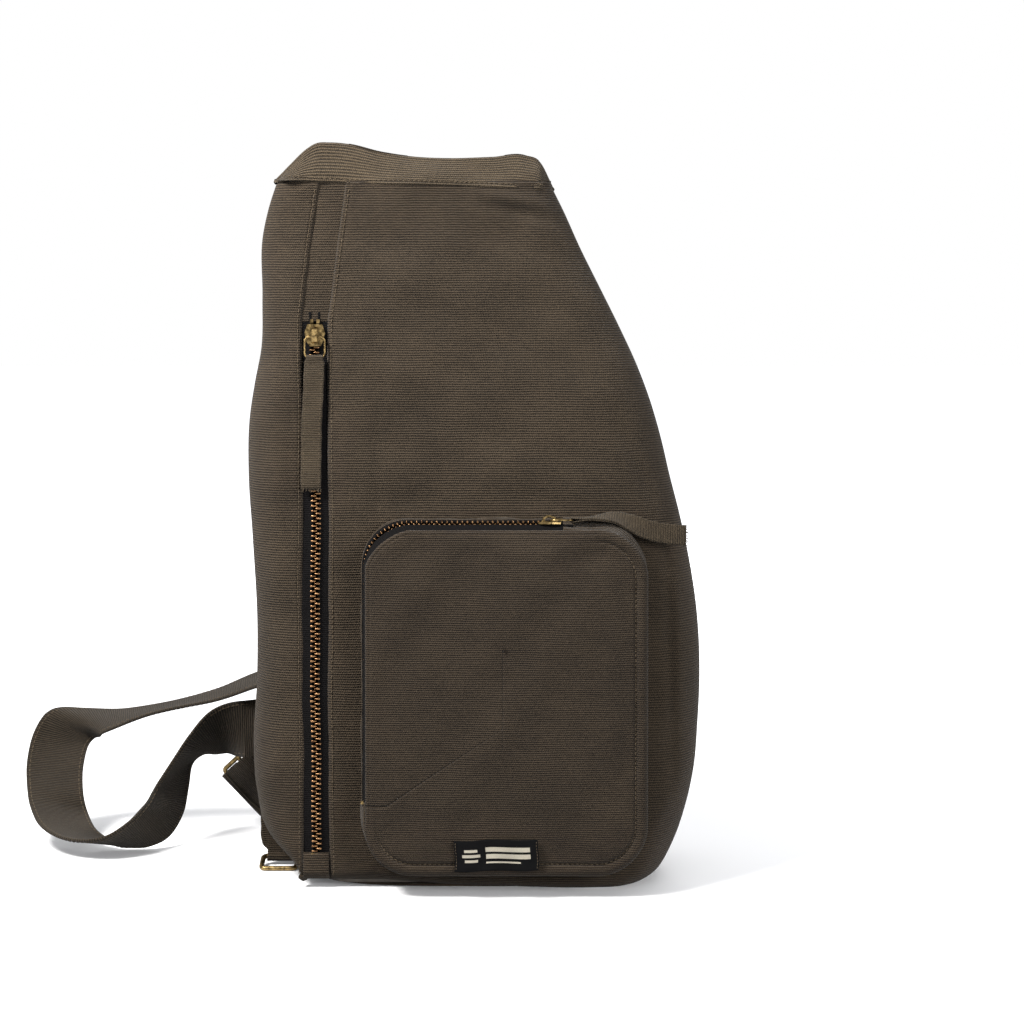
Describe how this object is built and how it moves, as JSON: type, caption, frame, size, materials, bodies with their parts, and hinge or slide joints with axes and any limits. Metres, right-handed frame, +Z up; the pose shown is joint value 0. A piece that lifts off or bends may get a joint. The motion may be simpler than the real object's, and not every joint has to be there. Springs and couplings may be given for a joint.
{
  "type": "sling bag",
  "caption": "Canvas sling bag with a tapered body, a long front zip, a zipped box pocket, pull tabs on rings and one wide adjustable shoulder strap.",
  "frame": {"origin": "centre of the flat base's width and depth lines, on the surface the bag stands on", "axes": "+X towards the curved side away from the strap loop, +Y from the front to the back, +Z up, the longest extent"},
  "size_m": [0.4445, 0.1952, 0.4592],
  "materials": {
    "canvas": "matte",
    "strap_canvas": "matte",
    "zip_tape": "matte",
    "lining": "matte",
    "label_weave": "matte",
    "foam": "matte",
    "board": "matte",
    "brass": "satin"
  },
  "bodies": {
    "bag": {"base_panel": "canvas", "base_board": "board", "back_panel": "canvas", "front_left_panel": "canvas", "front_main_panel": "canvas", "zip_header_strip": "canvas", "zip_foot_tab": "canvas", "top_band": "canvas", "lining_front": "lining", "lining_back": "lining", "back_foam": "foam", "main_zip_tape_left": "zip_tape", "main_zip_tape_right": "zip_tape", "main_zip_teeth_left": "brass", "main_zip_teeth_right": "brass", "main_zip_top_stops": "brass", "main_zip_bottom_stop": "brass", "pocket_rear_gusset": "canvas", "pocket_side_gusset": "canvas", "pocket_zip_tape_rear": "zip_tape", "pocket_zip_tape_front": "zip_tape", "pocket_zip_teeth_rear": "brass", "pocket_zip_teeth_front": "brass", "pocket_zip_stops": "brass", "pocket_front_panel": "canvas", "pocket_lip": "canvas", "label": "label_weave", "strap": "strap_canvas", "strap_turn": "strap_canvas", "strap_lower": "strap_canvas", "strap_anchor_patch": "canvas", "corner_tab_left": "canvas", "corner_tab_right": "canvas"},
    "main_slider": {"main_zip_slider": "brass"},
    "main_ring": {"main_zip_ring": "brass"},
    "main_pull": {"main_zip_pull": "canvas"},
    "pocket_slider": {"pocket_zip_slider": "brass"},
    "pocket_ring": {"pocket_zip_ring": "brass"},
    "pocket_pull": {"pocket_zip_pull": "canvas"},
    "adjuster": {"tri_glide": "brass"},
    "ring_left": {"corner_ring_left": "brass"},
    "ring_right": {"corner_ring_right": "brass"}
  },
  "joints": [
    {"name": "main_zip_slide", "type": "slide", "parent": "bag", "child": "main_slider", "axis": [0, -0.0872, -0.9962], "range_m": [0, 0.305], "deforming": ["main_zip_teeth_left", "main_zip_teeth_right"]},
    {"name": "main_ring_swing", "type": "hinge", "parent": "main_slider", "child": "main_ring", "pos_m": [-0.0984, -0.02531, 0.34062], "axis": [-1, 0, 0], "range_deg": [0, 120]},
    {"name": "main_pull_swing", "type": "hinge", "parent": "main_ring", "child": "main_pull", "pos_m": [-0.0984, -0.02643, 0.32787], "axis": [-1, 0, 0], "range_deg": [0, 58]},
    {"name": "pocket_zip_slide", "type": "slide", "parent": "bag", "child": "pocket_slider", "axis": [-1, 0, 0], "range_m": [0, 0.078], "deforming": ["pocket_zip_teeth_rear", "pocket_zip_teeth_front", "pocket_zip_pull"]},
    {"name": "pocket_ring_swing", "type": "hinge", "parent": "pocket_slider", "child": "pocket_ring", "pos_m": [0.047, -0.04696, 0.22973], "axis": [0, -0.9962, 0.0872], "range_deg": [0, 120], "deforming": ["pocket_zip_pull"]},
    {"name": "pocket_pull_swing", "type": "hinge", "parent": "pocket_ring", "child": "pocket_pull", "pos_m": [0.0598, -0.04696, 0.22973], "axis": [0, -0.9962, 0.0872], "range_deg": [0, 58], "deforming": ["pocket_zip_pull"]},
    {"name": "adjuster_slide", "type": "slide", "parent": "bag", "child": "adjuster", "axis": [0.7317, 0, 0.6816], "range_m": [-0.004, 0.016], "deforming": ["strap_turn", "strap_lower"]},
    {"name": "ring_left_swing", "type": "hinge", "parent": "bag", "child": "ring_left", "pos_m": [-0.1258, 0.008, 0.0054], "axis": [1, 0, 0], "range_deg": [0, 150]},
    {"name": "ring_right_swing", "type": "hinge", "parent": "bag", "child": "ring_right", "pos_m": [0.1044, 0.062, 0.026], "axis": [0, 0, 1], "range_deg": [-20, 20], "deforming": ["strap_lower"]}
  ]
}
